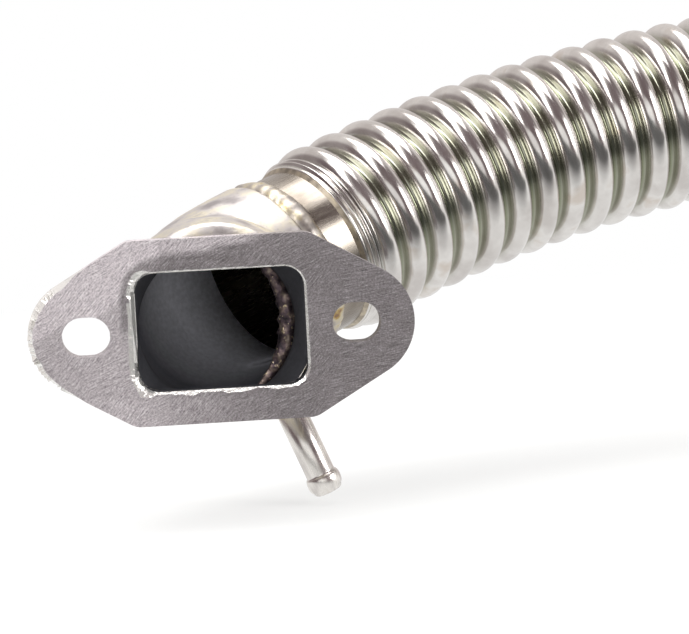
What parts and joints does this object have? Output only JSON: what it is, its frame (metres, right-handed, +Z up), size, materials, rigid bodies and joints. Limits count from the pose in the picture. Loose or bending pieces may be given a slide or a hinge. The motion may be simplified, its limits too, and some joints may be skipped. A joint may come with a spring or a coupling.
{
  "type": "flexible exhaust header",
  "caption": "Slotted oval-ended flange, cast elbow and a bowed corrugated metal hose that ends in a plain tube.",
  "frame": {"origin": "centre of the flange's mating face, between the two stud slots", "axes": "+X runs from one stud slot to the other and is the outlet's direction; +Y points into the header, away from the engine; +Z is up, toward the side the elbow climbs to"},
  "size_m": [0.1874, 0.074, 0.0707],
  "materials": {
    "flange_steel": "brushed",
    "cast_elbow": "satin",
    "tube_steel": "polished",
    "hose_steel": "polished",
    "nipple_steel": "polished",
    "weld": "satin",
    "braze": "satin"
  },
  "bodies": {
    "root": {"flange_plate": "flange_steel", "cast_elbow": "cast_elbow", "link_tube": "tube_steel", "corrugated_hose": "hose_steel", "outlet_tube": "tube_steel", "pressure_nipple": "nipple_steel", "plate_weld": "weld", "seam_weld": "weld", "inlet_braze": "braze", "outlet_braze": "braze", "nipple_braze": "braze", "root_weld": "weld"}
  },
  "joints": []
}
